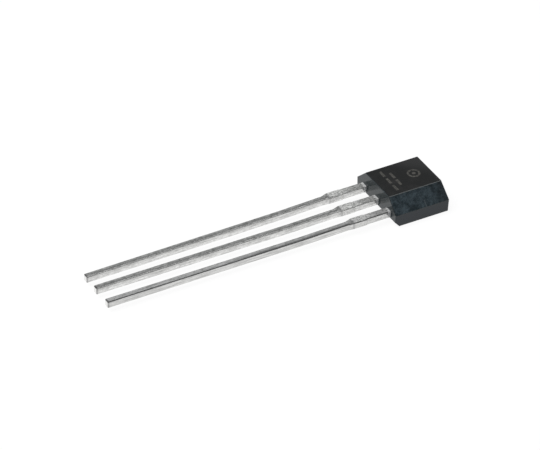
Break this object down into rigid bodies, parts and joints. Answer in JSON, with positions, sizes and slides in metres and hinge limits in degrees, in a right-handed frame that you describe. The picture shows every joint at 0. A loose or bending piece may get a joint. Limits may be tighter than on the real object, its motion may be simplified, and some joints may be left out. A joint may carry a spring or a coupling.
{
  "type": "hall effect sensor",
  "caption": "Flat single-in-line hall effect sensor: a chamfered black moulded body with a row of long straight tinned leads from one end.",
  "frame": {"origin": "on the back face, under the middle of the body's length and width at the parting line", "axes": "+X from the lead tips to the head of the body, +Y across the leads towards the supply lead, +Z out of the marked face"},
  "size_m": [0.0194, 0.004, 0.0015],
  "materials": {
    "moulding_compound": "fine matt epoxy moulding, faintly glossy",
    "tin_plate": "satin tin plating with fine drawn lines",
    "silicon": "polished silicon",
    "adhesive": "cured silver-filled adhesive",
    "gold": "drawn gold wire"
  },
  "bodies": {
    "root": {"mould_case": "moulding_compound", "supply_lead": "tin_plate", "ground_lead": "tin_plate", "output_lead": "tin_plate", "die_attach": "adhesive", "hall_die": "silicon", "supply_wire": "gold", "ground_wire": "gold", "output_wire": "gold"}
  },
  "joints": []
}
